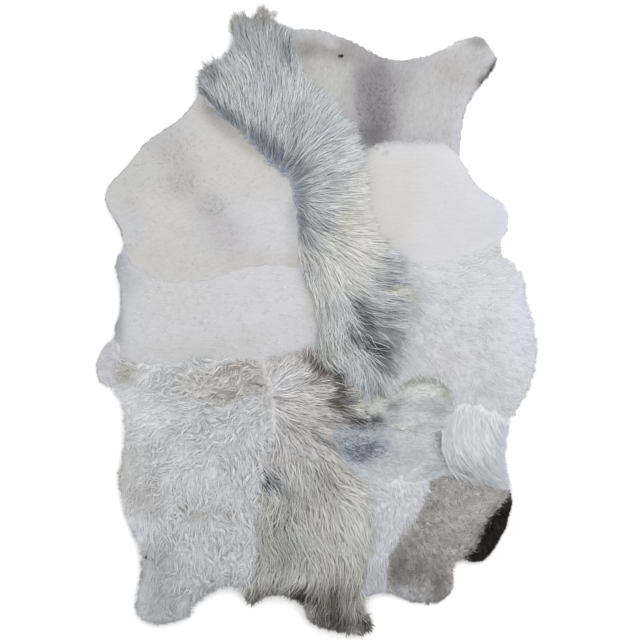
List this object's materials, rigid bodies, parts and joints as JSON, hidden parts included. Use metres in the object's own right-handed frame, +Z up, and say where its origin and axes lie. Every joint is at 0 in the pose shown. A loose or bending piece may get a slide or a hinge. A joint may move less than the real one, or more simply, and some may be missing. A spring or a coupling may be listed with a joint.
{
  "type": "patchwork sheepskin rug",
  "caption": "Flat irregular floor rug of sheepskins sewn edge to edge, wool side up, with short, curly and long-haired skins and a fringe of wool locks round its rim.",
  "frame": {"origin": "on the floor under the middle of the rug's bounding box", "axes": "+X to the rug's right, +Y to its top end along its length, +Z up, out of the wool"},
  "size_m": [1.2615, 1.7998, 0.0508],
  "materials": {
    "long_slate_hair": "long combed hair, slate roots and silver to cream tips, matt",
    "short_grey_wool": "short dense wool, pale grey with a dark band, matt",
    "shorn_ivory_wool": "shorn ivory wool with a grey-brown smudge, matt",
    "white_wool": "medium white wool, matt",
    "shorn_lavender_wool": "close shorn grey wool, matt",
    "smooth_white_wool": "smooth white wool, cream at one side, matt",
    "soft_white_wool": "full soft white wool, matt",
    "silky_white_hair": "long silky white hair, slight sheen",
    "speckled_wool": "short pale wool with slate specks, matt",
    "spotted_wool": "short pale wool with a dark slate spot, matt",
    "taupe_wool": "dense shorn grey-brown wool, matt",
    "black_hair": "black long hair, slight sheen",
    "short_white_wool": "short smooth white wool, matt",
    "long_beige_hair": "long wavy beige hair with dark tips, matt",
    "brindle_hair": "cream and dark brown long hair, matt",
    "curly_wool": "off-white curly wool, matt",
    "hide": "pale suede hide, matt, on the underside"
  },
  "bodies": {
    "root": {"spine": "long_slate_hair", "neck": "short_grey_wool", "shoulder": "shorn_ivory_wool", "flank": "white_wool", "flap": "shorn_lavender_wool", "white_upper": "smooth_white_wool", "white_lower": "soft_white_wool", "tress": "silky_white_hair", "spotted_upper": "speckled_wool", "spotted_lower": "spotted_wool", "taupe": "taupe_wool", "black_edge": "black_hair", "white_strip": "short_white_wool", "beige_tail": "long_beige_hair", "brindle": "brindle_hair", "curly": "curly_wool"}
  },
  "joints": []
}
